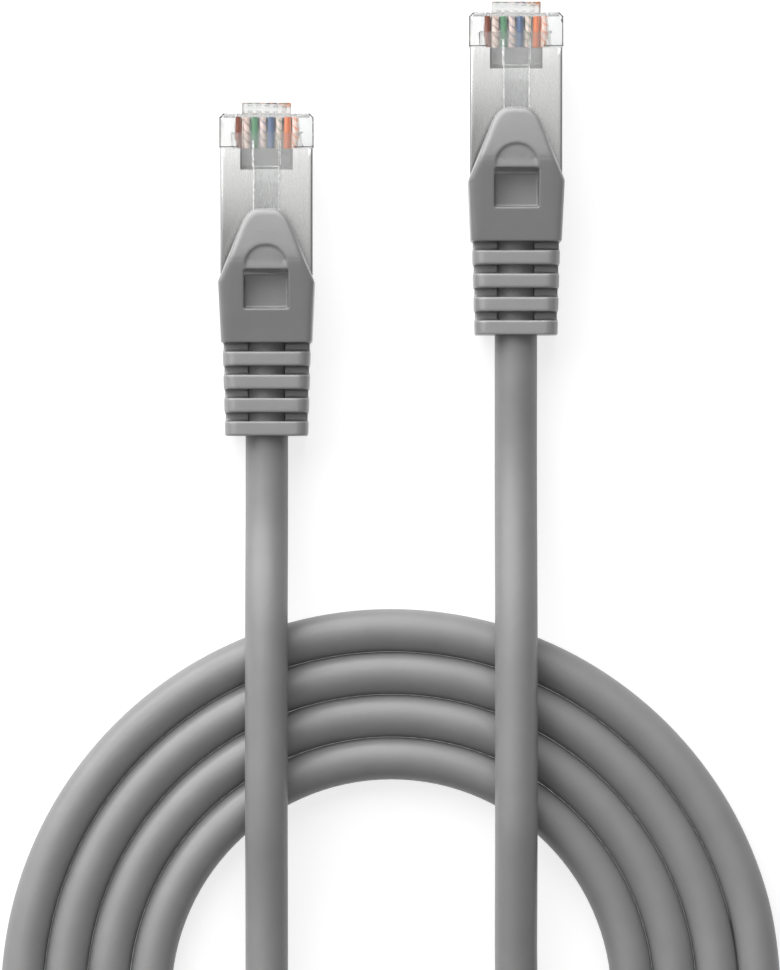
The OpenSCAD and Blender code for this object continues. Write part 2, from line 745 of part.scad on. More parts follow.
LEAD_B = [
    [2.2, -18.9, 2.65], [6.8, -16.5, 2.65], [10.6, -13, 2.65], [13.4, -8.8, 2.85], [15, -4, 3.3],
    [15.5, 1, 4], [15.5, 7, 5], [15.5, 12.5, 6.2], [15.5, 17.5, 7.3], [15.5, 22, 8.1],
    [15.5, 27, 8.3], [15.5, 33, 8.3], [15.5, 39, 8.3], [15.5, 44, 8.2], [15.5, 49, 7.6],
    [15.5, 55, 6.2], [15.5, 61, 4.7], [15.5, 67, 3.8], [15.5, 72.5, 3.8]
];

function lead_points(route) = [for (p = route) [p[0], p[1] + coil_y, p[2]]];
function boot_exit(s, reach) = [plug_x(s), plug_y(s) - reach, cable_z];

lead_a_points = concat(
    [boot_exit("a", 0), boot_exit("a", cable_d)],
    lead_points(LEAD_A),
    [[coil_r, coil_y - cable_d - lead_a_step, cable_r], [coil_r, coil_y - cable_d, cable_r]]
);
lead_b_points = concat(
    lead_points([
        [coil_end[0], coil_end[1], cable_r],
        [coil_end[0] + lead_b_step, coil_end[1], cable_r]
    ]),
    lead_points(LEAD_B),
    [boot_exit("b", cable_d), boot_exit("b", 0)]
);

module cable_coil() {
    color("gray") tube(coil_points, cable_r, coil_sides);
}

module cable_lead(points) {
    color("gray") tube(points, cable_r, lead_sides);
}

// ---- Measures ----

function segment_gap(p, a, b) =
    let (t = max(0, min(1, (p - a) * (b - a) / ((b - a) * (b - a))))) norm(p - a - t * (b - a));
function route_length(points) = len(points) < 2 ? 0 :
    [for (i = [1 : len(points) - 1]) norm(points[i] - points[i - 1])] * [for (i = [1 : len(points) - 1]) 1];
coil_gap = min([for (i = [0 : len(coil_points) - 1]) for (j = [0 : len(coil_points) - 2])
    if (abs(i - j) > half_turn_steps) segment_gap(coil_points[i], coil_points[j], coil_points[j + 1])])
    - 2 * cable_r * cos(180 / coil_sides);
lever_pressed = [for (p = latch_points)
    latch_z + turned([latch_y - p[0], p[1] - latch_z], -latch_press)[1] - shell_top];
echo(str("least gap of the coil to itself: ", coil_gap, " mm"));
echo(str("cable between the boots: ",
    route_length(lead_a_points) + route_length(coil_points) + route_length(lead_b_points), " mm"));
echo(str("lever above the shell when pressed: ", min(lever_pressed), " mm"));
assert(coil_gap > 0.4, "the turns of the coil are too close");
assert(min(lever_pressed) > 0, "the pressed lever reaches the shell");

// ---- Nodes ----

for (s = SIDES) {
    at_plug(s) plug_housing();
    at_plug(s) latch();
    at_plug(s) load_bar();
    at_plug(s) shield_shell();
    at_plug(s) conductors();
    at_plug(s) foil_shield();
    at_plug(s) drain_wire();
    at_plug(s) jacket_end();
    at_plug(s) boot();
    at_plug(s) boot_tab();
    for (pin = PINS) {
        at_plug(s) contact(pin);
        at_plug(s) wire(pin);
    }
}
cable_lead(lead_a_points);  // cable_lead_a
cable_coil();
cable_lead(lead_b_points);  // cable_lead_b
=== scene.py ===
"""Shielded ethernet patch cable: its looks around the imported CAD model.

The frame is the CAD's: X runs across the plugs, their noses point to +Y, +Z is up and the
cable lies on z = 0. Sizes are named in millimetres, and MM turns them into Blender's metres.
"""

import json
import math

import bmesh
import bpy
from mathutils import Matrix, Vector


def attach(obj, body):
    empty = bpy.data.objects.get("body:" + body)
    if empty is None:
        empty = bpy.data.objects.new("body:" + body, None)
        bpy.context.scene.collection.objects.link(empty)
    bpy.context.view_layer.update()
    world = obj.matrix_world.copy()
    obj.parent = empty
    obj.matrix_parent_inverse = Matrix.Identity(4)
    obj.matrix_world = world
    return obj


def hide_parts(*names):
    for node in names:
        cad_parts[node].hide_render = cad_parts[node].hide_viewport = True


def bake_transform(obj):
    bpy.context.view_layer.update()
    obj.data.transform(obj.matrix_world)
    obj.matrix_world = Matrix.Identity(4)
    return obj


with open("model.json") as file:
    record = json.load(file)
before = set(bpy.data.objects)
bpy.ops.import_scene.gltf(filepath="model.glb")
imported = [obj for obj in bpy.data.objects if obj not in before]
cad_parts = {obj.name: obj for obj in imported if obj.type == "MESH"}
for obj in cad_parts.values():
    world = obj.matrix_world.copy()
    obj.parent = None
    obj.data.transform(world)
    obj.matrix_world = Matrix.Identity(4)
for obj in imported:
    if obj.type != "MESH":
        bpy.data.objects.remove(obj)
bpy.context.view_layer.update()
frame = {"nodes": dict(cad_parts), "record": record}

MM = 0.001
SIDES = ("a", "b")

# ---- Sizes shared with the CAD source, in millimetres ----

CABLE_D = 5.3
CABLE_R = CABLE_D / 2
CABLE_Z = 4.2  # height of the cable's middle line in a plug
PLUG_X = {"a": -15.5, "b": 15.5}
PLUG_REAR = {"a": -26.975, "b": -14.425}  # the back of each boot

# Coil: its middle, the middle line of its outermost turn, and the turn that leads out of it
COIL_Y = -97.225
COIL_R = 46.05
PITCH = CABLE_D + 0.02
TOP_TURNS = 4
TURN_IN_R = 20.05

# Stations along a plug, from the back of its boot
Y_BODY_BACK, Y_BODY_FRONT = 11.6, 20
HINGE_Y = 17.2
Y_CREST, Y_HOOD = 21.771, 28.4
Y_DIP, Y_STEP = 32.7, 35.8
Y_NOSE, Y_SEAT = 40, 41.3

# Nose, the seat in front of it that carries the latch's root, and the latch's lever
NOSE_HALF, NOSE_LOW, NOSE_TOP, NOSE_CHAMFER = 5.84, 0.9, 7.5, 0.45
SEAT_HALF, SEAT_Z = 3.05, 5.9
LEVER_HALF = 2.3

# Shield shell, and the tray in it under the latch
SHELL_HALF, SHELL_TOP = 5.725, 7.4
DIP_HALF, DIP_Z = 3.45, 5.3

# Boot, and the hood with its pocket
BOOT_W = 12
WALL_TOP = 7.45
HOOD_TOP = 12.2
BACK_SLOPE = 18.6  # degrees, from the boot's back up to the crest of the hood
POCKET_HALF, POCKET_Z, POCKET_FRONT = 2.75, 7.92, 20.6


def add_object(name, data):
    """Object in the scene around a mesh, curve, camera or lamp."""
    made = bpy.data.objects.new(name, data)
    bpy.context.scene.collection.objects.link(made)
    return made


def evaluated_mesh(piece):
    """Mesh of an object as its curve settings or modifiers make it."""
    graph = bpy.context.evaluated_depsgraph_get()
    return bpy.data.meshes.new_from_object(piece.evaluated_get(graph))


# ---- Camera ----

PHOTO_H = 970  # pixels
MM_PER_PIXEL = 0.1245
CAMERA_X, CAMERA_Y = -0.17, -33.07
CAMERA_HEIGHT = 1.0  # metres
SENSOR = 36.0


def make_camera():
    """Straight above, with a long lens; its scale holds at the height of the plugs' middle."""
    data = bpy.data.cameras.new("camera")
    data.sensor_fit = "AUTO"
    data.sensor_width = SENSOR
    data.lens = SENSOR * (CAMERA_HEIGHT - CABLE_Z * MM) / (PHOTO_H * MM_PER_PIXEL * MM)
    data.clip_start, data.clip_end = 0.1, 10
    camera = add_object("camera", data)
    camera.location = (CAMERA_X * MM, CAMERA_Y * MM, CAMERA_HEIGHT)
    bpy.context.scene.camera = camera


make_camera()

# ---- Cable: one cord from boot to boot ----

# Routes of the two leads, as in the CAD source: x, y from the coil's middle, and height
LEAD_A = [
    (-15.5, 60, 4.5), (-15.5, 55.5, 5.6), (-15.5, 51.5, 6.9), (-15.5, 47.5, 7.9),
    (-15.5, 43, 8.3), (-15.5, 37, 8.3), (-15.5, 31, 8.3), (-15.5, 26, 8.2), (-15.5, 21.5, 7.7),
    (-15.5, 16, 6.5), (-15.5, 9.5, 5.5), (-15.5, 2.5, 5.1), (-15.5, -4.5, 5.7),
    (-15.5, -10, 6.9), (-15.5, -14.5, 7.9), (-15.5, -19, 8.3), (-15.5, -24, 8.3),
    (-14.8, -30, 8.3), (-12.5, -36, 8.3), (-8.7, -41.2, 8.3), (-3.7, -45.2, 8),
    (2.2, -47.7, 6.7), (8.5, -48.6, 5.1), (15, -47.9, 3.6), (21.5, -45.7, 2.85),
    (28, -42.2, 2.65), (34, -37.2, 2.65), (39.2, -30.9, 2.65), (43.2, -23.6, 2.65),
    (45.6, -16, 2.65),
]
LEAD_B = [
    (2.2, -18.9, 2.65), (6.8, -16.5, 2.65), (10.6, -13, 2.65), (13.4, -8.8, 2.85),
    (15, -4, 3.3), (15.5, 1, 4), (15.5, 7, 5), (15.5, 12.5, 6.2), (15.5, 17.5, 7.3),
    (15.5, 22, 8.1), (15.5, 27, 8.3), (15.5, 33, 8.3), (15.5, 39, 8.3), (15.5, 44, 8.2),
    (15.5, 49, 7.6), (15.5, 55, 6.2), (15.5, 61, 4.7), (15.5, 67, 3.8), (15.5, 72.5, 3.8),
]
LEAD_IN = 4.5  # between the last two points before the coil
ARC_STEPS = 12  # points on each half turn of the coil
ROUTE_STEP = 1.5  # between the points of the finished line


def arc(centre_x, radius, start, end, steps):
    """Points on an arc about (centre_x, 0), angles in degrees."""
    angles = [math.radians(start + (end - start) * i / steps) for i in range(steps + 1)]
    return [(centre_x + radius * math.cos(a), radius * math.sin(a), CABLE_R) for a in angles]


def coil_points():
    """Half turns that step in by a pitch a turn, and a quarter turn inwards at the end."""
    points = []
    for k in range(TOP_TURNS):
        points += arc(0, COIL_R - k * PITCH, 0, 180, ARC_STEPS)
        if k < TOP_TURNS - 1:
            points += arc(-PITCH / 2, COIL_R - (k + 0.5) * PITCH, 180, 360, ARC_STEPS)[1:-1]
    inner_r = COIL_R - (TOP_TURNS - 1) * PITCH
    return points + arc(TURN_IN_R - inner_r, TURN_IN_R, 180, 270, ARC_STEPS // 2)[1:]


def boot_exit(side, reach):
    """Point on the cable's line behind a boot, measured from the middle of the coil."""
    return PLUG_X[side], PLUG_REAR[side] - reach - COIL_Y, CABLE_Z


def cable_route():
    """Points from boot to boot, in metres."""
    route = [boot_exit("a", 0), boot_exit("a", CABLE_D)] + LEAD_A
    route += [(COIL_R, -CABLE_D - LEAD_IN, CABLE_R), (COIL_R, -CABLE_D, CABLE_R)]
    route += coil_points()
    last = route[-1]
    route += [(last[0] + CABLE_D, last[1], CABLE_R)] + LEAD_B
    route += [boot_exit("b", CABLE_D), boot_exit("b", 0)]
    return [Vector((x, y + COIL_Y, z)) * MM for x, y, z in route]


def smooth_line(points, step):
    """Catmull-Rom line through the points, with a point about every step."""
    line = []
    ends = [points[0] * 2 - points[1]] + points + [points[-1] * 2 - points[-2]]
    for p0, p1, p2, p3 in zip(ends, ends[1:], ends[2:], ends[3:]):
        d1, d2, d3 = ((b - a).length ** 0.5 for a, b in ((p0, p1), (p1, p2), (p2, p3)))
        m1 = (p1 - p0) / d1 - (p2 - p0) / (d1 + d2) + (p2 - p1) / d2
        m2 = (p2 - p1) / d2 - (p3 - p1) / (d2 + d3) + (p3 - p2) / d3
        count = max(1, round((p2 - p1).length / step))
        for i in range(count):
            t = i / count
            h00, h10 = 2 * t**3 - 3 * t**2 + 1, t**3 - 2 * t**2 + t
            h01, h11 = -2 * t**3 + 3 * t**2, t**3 - t**2
            line.append(h00 * p1 + h10 * d2 * m1 + h01 * p2 + h11 * d2 * m2)
    return line + [points[-1]]


def make_cable():
    """Tube round the route. It is a mesh, because a curve's own bounding box is far too big."""
    line = smooth_line(cable_route(), ROUTE_STEP * MM)
    curve = bpy.data.curves.new("cable", "CURVE")
    curve.dimensions = "3D"
    curve.bevel_depth = CABLE_R * MM
    curve.bevel_resolution = 12
    curve.use_fill_caps = True
    spline = curve.splines.new("POLY")
    spline.points.add(len(line) - 1)
    for point, co in zip(spline.points, line):
        point.co = (*co, 1)
    swept = add_object("cable", curve)
    tube = evaluated_mesh(swept)
    bpy.data.objects.remove(swept)
    cable = add_object("cable", tube)
    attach(cable, "cable")
    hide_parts("cable_lead_a", "cable_coil", "cable_lead_b")
    return cable


cable = make_cable()

# ---- Materials ----


class Paint:
    """A node material that starts from one Principled shader."""

    def __init__(self, name, color, roughness, **sockets):
        self.material = bpy.data.materials.new(name)
        self.material.use_nodes = True
        self.tree = self.material.node_tree
        self.shader = self.tree.nodes["Principled BSDF"]
        self.shader.inputs["Base Color"].default_value = (*color, 1)
        self.shader.inputs["Roughness"].default_value = roughness
        for key, value in sockets.items():
            self.shader.inputs[key.replace("_", " ")].default_value = value
        self.place = self.node("ShaderNodeTexCoord").outputs["Object"]

    def link(self, source, target):
        self.tree.links.new(source, target)

    def node(self, kind, links=(), **settings):
        """New node; a setting is an attribute of the node or, failing that, an input socket."""
        made = self.tree.nodes.new(kind)
        for key, value in settings.items():
            if hasattr(made, key):
                setattr(made, key, value)
            else:
                made.inputs[key.replace("_", " ")].default_value = value
        for socket, source in dict(links).items():
            self.link(source, made.inputs[socket])
        return made

    def noise(self, scale, detail=2, stretch=None, distortion=0.0):
        """Noise in the object's own coordinates; a scale of 1000 has features of about 1 mm."""
        vector = self.place
        if stretch:
            mapping = self.node("ShaderNodeMapping", {"Vector": vector}, Scale=stretch)
            vector = mapping.outputs["Vector"]
        made = self.node(
            "ShaderNodeTexNoise", {"Vector": vector},
            Scale=scale, Detail=detail, Distortion=distortion
        )
        return made.outputs["Fac"]

    def ramp(self, value, start, end, low=0.0, high=1.0):
        """Maps start..end to low..high, and holds both ends."""
        limits = {"From Min": start, "From Max": end, "To Min": low, "To Max": high}
        made = self.node("ShaderNodeMapRange", {"Value": value})
        for socket, number in limits.items():
            made.inputs[socket].default_value = number
        return made.outputs["Result"]

    def spread(self, value, low, high):
        """Maps 0.3..0.7, where noise mostly lies, to low..high."""
        return self.ramp(value, 0.3, 0.7, low, high)

    def mixed(self, factor, a, b):
        """From a to b by the factor; each is a colour or another node's output."""
        made = self.node("ShaderNodeMix", data_type="RGBA")
        self.link(factor, made.inputs["Factor"])
        for socket, value in (("A", a), ("B", b)):
            target = [s for s in made.inputs if s.name == socket and s.type == "RGBA"][0]
            if isinstance(value, tuple):
                target.default_value = (*value, 1)
            else:
                self.link(value, target)
        return [s for s in made.outputs if s.type == "RGBA"][0]

    def color(self, source):
        self.link(source, self.shader.inputs["Base Color"])

    def rough(self, value, low, high):
        self.link(self.spread(value, low, high), self.shader.inputs["Roughness"])

    def bump(self, *layers):
        """Stacks (height, depth in metres) layers on the normal."""
        normal = None
        for height, depth in layers:
            links = {"Height": height}
            if normal:
                links["Normal"] = normal
            normal = self.node("ShaderNodeBump", links, Distance=depth).outputs["Normal"]
        self.link(normal, self.shader.inputs["Normal"])

    def lamps_pass(self, tint):
        """Lets the lamps' light through to what lies behind the clear plastic."""
        path = self.node("ShaderNodeLightPath")
        clear = self.node("ShaderNodeBsdfTransparent", Color=(*tint, 1))
        mix = self.node("ShaderNodeMixShader", {0: path.outputs["Is Shadow Ray"]})
        self.link(self.shader.outputs["BSDF"], mix.inputs[1])
        self.link(clear.outputs["BSDF"], mix.inputs[2])
        output = [n for n in self.tree.nodes if n.type == "OUTPUT_MATERIAL"][0]
        self.link(mix.outputs["Shader"], output.inputs["Surface"])


def darker(color, share):
    """The colour times the share; a share over 1 is lighter."""
    return tuple(c * share for c in color)


def jacket_paint():
    """Smooth grey PVC, faintly clouded, with the speckle of extrusion."""
    grey = (0.27, 0.27, 0.27)
    paint = Paint("jacket", grey, 0.4, Specular_IOR_Level=0.5)
    clouds = paint.noise(220, detail=3)
    paint.color(paint.mixed(clouds, darker(grey, 0.9), darker(grey, 1.1)))
    speckle = paint.noise(2600)
    paint.rough(speckle, 0.36, 0.44)
    paint.bump((paint.noise(700), 0.00003), (speckle, 0.00001))
    return paint.material


def boot_paint():
    """Softer moulded PVC with a fine spark-eroded grain and a slight sheen."""
    grey = (0.26, 0.26, 0.26)
    paint = Paint(
        "boot_plastic", grey, 0.45, Specular_IOR_Level=1.0, Coat_Weight=0.4, Coat_Roughness=0.2
    )
    clouds = paint.noise(260, detail=3)
    paint.color(paint.mixed(clouds, darker(grey, 0.92), darker(grey, 1.08)))
    grain = paint.noise(4200)
    paint.rough(grain, 0.32, 0.42)
    paint.bump((paint.noise(900), 0.00002), (grain, 0.000012))
    return paint.material


CLEAR_IOR = 1.12  # low, so that the wires show almost undistorted through the walls


def clear_paint():
    """Polycarbonate: all but colourless face on, and greyer where its walls are looked along."""
    tint = (0.85, 0.855, 0.855)
    paint = Paint(
        "clear_plastic", tint, 0.04,
        Transmission_Weight=1.0, IOR=CLEAR_IOR, Coat_Weight=0.25, Coat_IOR=1.5
    )
    paint.rough(paint.noise(900, detail=3), 0.02, 0.08)
    paint.bump((paint.noise(350), 0.00001))
    facing = paint.node("ShaderNodeLayerWeight", Blend=0.5).outputs["Facing"]
    paint.color(paint.mixed(paint.ramp(facing, 0.55, 0.95), tint, darker(tint, 0.2)))
    paint.lamps_pass((0.94, 0.95, 0.95))
    return paint.material


def edge_paint(name, color, transmission):
    """Rounded rods and bevels along the edges of a clear moulding, coloured as painted shade or a
    painted highlight in place of the light or the dark around them.
    """
    paint = Paint(name, color, 0.25, Transmission_Weight=transmission, IOR=CLEAR_IOR)
    wear = paint.noise(1300)
    paint.color(paint.mixed(wear, darker(color, 0.85), color))
    paint.rough(wear, 0.15, 0.35)
    paint.lamps_pass((0.85, 0.86, 0.86))
    return paint.material


def comb_paint():
    """Milky clear plastic."""
    tint = (0.93, 0.93, 0.92)
    paint = Paint("comb_plastic", tint, 0.08, Transmission_Weight=0.93, IOR=CLEAR_IOR)
    paint.rough(paint.noise(1200), 0.04, 0.12)
    paint.bump((paint.noise(900), 0.000004))
    paint.lamps_pass((0.88, 0.88, 0.87))
    return paint.material


def shell_paint():
    """Nickel-plated sheet, rolled along the plug."""
    paint = Paint("shell_metal", (0.62, 0.62, 0.615), 0.3, Metallic=1.0)
    rolled = paint.noise(700, detail=4, stretch=(6, 0.5, 6))
    stains = paint.noise(180, detail=3)
    paint.color(paint.mixed(stains, (0.6, 0.6, 0.595), (0.65, 0.65, 0.645)))
    paint.rough(rolled, 0.25, 0.31)
    paint.bump((rolled, 0.000002), (stains, 0.000004))
    return paint.material


def foil_paint():
    """Creased aluminium foil."""
    paint = Paint("foil", (0.83, 0.84, 0.85), 0.22, Metallic=1.0)
    creases = paint.noise(1100, detail=4, distortion=0.6)
    paint.rough(creases, 0.15, 0.35)
    paint.bump((creases, 0.00008))
    return paint.material


def metal_paint(name, color, roughness):
    """Bare or plated metal, a little worn."""
    paint = Paint(name, color, roughness, Metallic=1.0)
    wear = paint.noise(1500, detail=3)
    paint.color(paint.mixed(wear, darker(color, 0.85), color))
    paint.rough(wear, roughness * 0.8, roughness * 1.3)
    paint.bump((paint.noise(2500), 0.000004))
    return paint.material


INSULATION = {
    "orange": (0.92, 0.2, 0.03),
    "green": (0.03, 0.26, 0.09),
    "blue": (0.03, 0.1, 0.26),
    "brown": (0.2, 0.045, 0.018),
}
WHITE_BASE = (0.94, 0.72, 0.64)
STRIPE_PITCH = 1.1
STRIPE_STRENGTH = 0.55
WAVE_RATE = 10  # radians of the wave texture for each unit of x + y + z at a scale of 1


def insulation_paint(slot):
    """Polyethylene; the light wires carry a stripe of their pair's colour, wound round them."""
    hue = INSULATION[slot.split("_")[-1]]
    base = WHITE_BASE if "white" in slot else hue
    paint = Paint(slot, base, 0.35)
    clouds = paint.noise(800)
    body = paint.mixed(clouds, darker(base, 0.9), base)
    if "white" in slot:
        wave = paint.node(
            "ShaderNodeTexWave", {"Vector": paint.place}, wave_type="BANDS",
            bands_direction="DIAGONAL", Distortion=0.4,
            Scale=2 * math.pi / WAVE_RATE / (STRIPE_PITCH * MM)
        ).outputs["Fac"]
        stripe = paint.ramp(wave, 0.7, 0.85, 0, STRIPE_STRENGTH)
        body = paint.mixed(stripe, body, hue)
    paint.color(body)
    paint.rough(clouds, 0.3, 0.42)
    paint.bump((paint.noise(1800), 0.000008))
    return paint.material


MATERIALS = {
    "jacket": jacket_paint(),
    "boot_plastic": boot_paint(),
    "clear_plastic": clear_paint(),
    "comb_plastic": comb_paint(),
    # edge colours that are painted light: dark painted shade, paler painted shade, and a painted
    # highlight
    "painted_shade_edge": edge_paint("painted_shade_edge", (0.27, 0.275, 0.275), 1.0),
    "painted_pale_shade_edge": edge_paint("painted_pale_shade_edge", (0.6, 0.6, 0.6), 0.7),
    "painted_highlight_edge": edge_paint("painted_highlight_edge", (0.93, 0.93, 0.93), 0.45),
    # a darker copy of the shell's metal: painted shade on the shell's tray, outer bends and cut
    # edges
    "shaded_metal": metal_paint("shaded_metal", (0.33, 0.33, 0.325), 0.45),
    "shell_metal": shell_paint(),
    "foil": foil_paint(),
    "copper": metal_paint("copper", (0.84, 0.42, 0.25), 0.3),
    "tinned_copper": metal_paint("tinned_copper", (0.72, 0.7, 0.67), 0.35),
    "gold": metal_paint("gold", (0.95, 0.68, 0.28), 0.2),
}
for name in INSULATION:
    for slot_name in ("insulation_" + name, "insulation_white_" + name):
        MATERIALS[slot_name] = insulation_paint(slot_name)


def finish_with(piece, slot_name):
    """Gives the piece the material of one of the record's slots."""
    piece.data.materials.clear()
    piece.data.materials.append(MATERIALS[slot_name])


finish_with(cable, "jacket")

# ---- Direction of the key lamp, for the stage and for the sheen of the shell ----

KEY_AZIMUTH, KEY_ELEVATION = -28, 40


def direction(azimuth, elevation):
    """Unit vector towards a lamp; azimuth 0 is +Y and 90 is +X."""
    a, e = math.radians(azimuth), math.radians(elevation)
    return Vector((math.sin(a) * math.cos(e), math.cos(a) * math.cos(e), math.sin(e)))


# ---- Plug: what its moulded and stamped nodes share ----

AXES = [Vector((1, 0, 0)), Vector((0, 1, 0)), Vector((0, 0, 1))]
WELD = 0.001  # points of a CAD mesh nearer than this are one
HOUSING_SHARP, BEVELLED_SHARP = 46, 35  # degrees, above which an edge stays sharp
MAIN_INDEX, EDGE_INDEX, FRONT_INDEX = 0, 1, 2  # places in a piece's list of materials


def on_plug(side, x, y, z):
    """Point in metres; x from the plug's middle, y from the back of its boot."""
    return (Vector((PLUG_X[side], PLUG_REAR[side], 0)) + Vector((x, y, z))) * MM


def node_mesh(node):
    """Editable copy of a CAD node's mesh, welded at its seams."""
    bm = bmesh.new()
    bm.from_mesh(frame["nodes"][node].data)
    bmesh.ops.remove_doubles(bm, verts=bm.verts, dist=WELD * MM)
    return bm


def body_of_node(node):
    """Name of the body that the node belongs to in the CAD record."""
    for body, members in frame["record"]["behaviour"]["bodies"].items():
        if node in members:
            return body


def apply_modifiers(piece):
    """Replaces the piece's mesh by what its modifiers make of it."""
    mesh = evaluated_mesh(piece)
    piece.modifiers.clear()
    piece.data = mesh


def smooth_between_edges(piece, angle):
    """Smooth shading that leaves flat faces flat."""
    for polygon in piece.data.polygons:
        polygon.use_smooth = True
    piece.data.set_sharp_from_angle(angle=math.radians(angle))
    normals = piece.modifiers.new("normals", "WEIGHTED_NORMAL")
    normals.weight = 100
    normals.keep_sharp = True
    apply_modifiers(piece)


# ---- Housing: the node's own mesh, with rods for the edges that a bevel would break, coloured as painted shade ----

EDGE_R = 0.07
# the thick rods at the nose's front carry the paler painted shade
FRONT_BEAD_R = 0.25
FRONT_BEAD_GAP = 0.5  # from the tray's line to the ends of the front's thick rods


def add_bead(bm, start, end, radius, material_index=EDGE_INDEX):
    """Thin rod from start to end."""
    run = end - start
    turn = run.to_track_quat("Z", "Y").to_matrix().to_4x4()
    made = bmesh.ops.create_cone(
        bm, cap_ends=True, segments=8, radius1=radius * MM, radius2=radius * MM,
        depth=run.length, matrix=Matrix.Translation((start + end) / 2) @ turn
    )
    for face in {f for v in made["verts"] for f in v.link_faces}:
        face.material_index = material_index


def add_nose_edges(bm, side):
    """Rods on the outer edges of the nose and of the latch's seat, where clear plastic shows its
    outline as painted shade.
    """

    def bead(start, end, *settings):
        add_bead(bm, on_plug(side, *start), on_plug(side, *end), *settings)

    r = EDGE_R
    half, front = NOSE_HALF - r, Y_NOSE - r
    low, top = NOSE_LOW + r, NOSE_TOP - r
    inner = half - NOSE_CHAMFER
    plan = [(half, Y_STEP + r), (half, front - NOSE_CHAMFER), (inner, front)]
    seat, seat_front = SEAT_HALF - r, Y_SEAT - r
    thick_y, thick_z = Y_NOSE - FRONT_BEAD_R, NOSE_TOP - FRONT_BEAD_R
    for s in (-1, 1):
        for z in (low, top):
            for (x0, y0), (x1, y1) in zip(plan, plan[1:]):
                bead((s * x0, y0, z), (s * x1, y1, z), r)
        for x, y in plan:
            bead((s * x, y, low), (s * x, y, top), r)
        bead((s * DIP_HALF, Y_STEP + r, top), (s * half, Y_STEP + r, top), r)
        thick_start = (s * (DIP_HALF + FRONT_BEAD_GAP), thick_y, thick_z)
        bead(thick_start, (s * inner, thick_y, thick_z), FRONT_BEAD_R, FRONT_INDEX)
        bead((s * seat, front, SEAT_Z), (s * seat, seat_front, SEAT_Z), r)
    bead((-seat, seat_front, SEAT_Z), (seat, seat_front, SEAT_Z), r)


def make_housing(side):
    """The clear housing with rods along its outer edges, which carry painted shade."""
    node = "plug_housing_" + side
    bm = node_mesh(node)
    add_nose_edges(bm, side)
    mesh = bpy.data.meshes.new(node + "_piece")
    piece = add_object(node + "_piece", mesh)
    finish_with(piece, "clear_plastic")
    mesh.materials.append(MATERIALS["painted_shade_edge"])
    mesh.materials.append(MATERIALS["painted_pale_shade_edge"])
    bm.to_mesh(mesh)
    bm.free()
    smooth_between_edges(piece, HOUSING_SHARP)
    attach(piece, body_of_node(node))
    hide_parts(node)


# ---- Shield shell: a bowed top, tight bends, a sheen that fades towards the hood, and painted shade in its tray, on its bends and along its edges ----

BOW = 0.2
BOW_CUTS = 14
BOW_DEPTH = 0.6  # below the nose's top, from where the bow acts
BOW_FADE = 0.3  # height over which it grows to its full size
BEND_R, BEND_SHARP = 0.6, 4.5
BEND_CORE = 0.2  # points nearer a bend's axis than this stay
SHEEN_Y = 31.5  # where the top is shaded as level
SHEEN_LEFT, SHEEN_RIGHT, SHEEN_FRONT = 0.22, 0.05, 0.08  # lean at the hood, and in front
LEVEL = 0.95  # least upward part of the normals on the shell's top
TOP_SHEET = 0.4  # depth of the shell's top, in which its outside lies
TRAY_RIM = 0.3  # below the nose's top
# the outer bends are painted darker, as shade
BEND_SIDEWAYS = (0.45, 0.99)  # least and most sideways part of the normals on the outer bends
BEND_UPWARDS = 0.1  # and their least upward part


def tighten(value):
    """Moves a coordinate on a unit circle to that on a squarer corner."""
    return math.copysign(abs(value) ** (2 / BEND_SHARP), value)


def bow_sheet(bm, side):
    """The shell's top is bowed a little along the plug, and its side bends are tight."""
    back, front = PLUG_REAR[side] + Y_BODY_FRONT, PLUG_REAR[side] + Y_STEP
    middle, half = (back + front) / 2, (front - back) / 2
    axis_x, axis_z = SHELL_HALF - BEND_R, SHELL_TOP - BEND_R
    for vertex in bm.verts:
        x, z = vertex.co.x / MM - PLUG_X[side], vertex.co.z / MM
        over, up = abs(x) - axis_x, z - axis_z
        reach = math.hypot(over, up)
        if over > 0 and up > 0 and reach > BEND_CORE:
            moved = math.copysign(axis_x + reach * tighten(over / reach), x)
            vertex.co.x = (PLUG_X[side] + moved) * MM
            vertex.co.z = (axis_z + reach * tighten(up / reach)) * MM
    for i in range(1, BOW_CUTS):
        geometry = bm.verts[:] + bm.edges[:] + bm.faces[:]
        cut = Vector((0, back + (front - back) * i / BOW_CUTS, 0)) * MM
        bmesh.ops.bisect_plane(bm, geom=geometry, plane_co=cut, plane_no=AXES[1])
    for vertex in bm.verts:
        y, z = vertex.co.y / MM, vertex.co.z / MM
        above = z - NOSE_TOP + BOW_DEPTH
        if above > 0:
            vertex.co.z -= BOW * ((y - middle) / half) ** 2 * min(1, above / BOW_FADE) * MM


def lean_sheen(piece, side):
    """Tilts the shading of the shell's top away from the key towards the hood."""
    mesh = piece.data
    away = -direction(KEY_AZIMUTH, 0)
    normals = []
    for loop in mesh.loops:
        x, y, z = mesh.vertices[loop.vertex_index].co / MM
        normal = loop.normal.copy()
        if normal.z > LEVEL and z > SHELL_TOP - TOP_SHEET:
            left = (SHELL_HALF - x + PLUG_X[side]) / (2 * SHELL_HALF)
            down = (SHEEN_Y - y + PLUG_REAR[side]) / (SHEEN_Y - Y_BODY_FRONT)
            across = SHEEN_RIGHT + left * (SHEEN_LEFT - SHEEN_RIGHT)
            lean = across if down > 0 else SHEEN_FRONT
            normal = (normal + away * down * lean).normalized()
        normals.append(normal)
    mesh.normals_split_custom_set(normals)


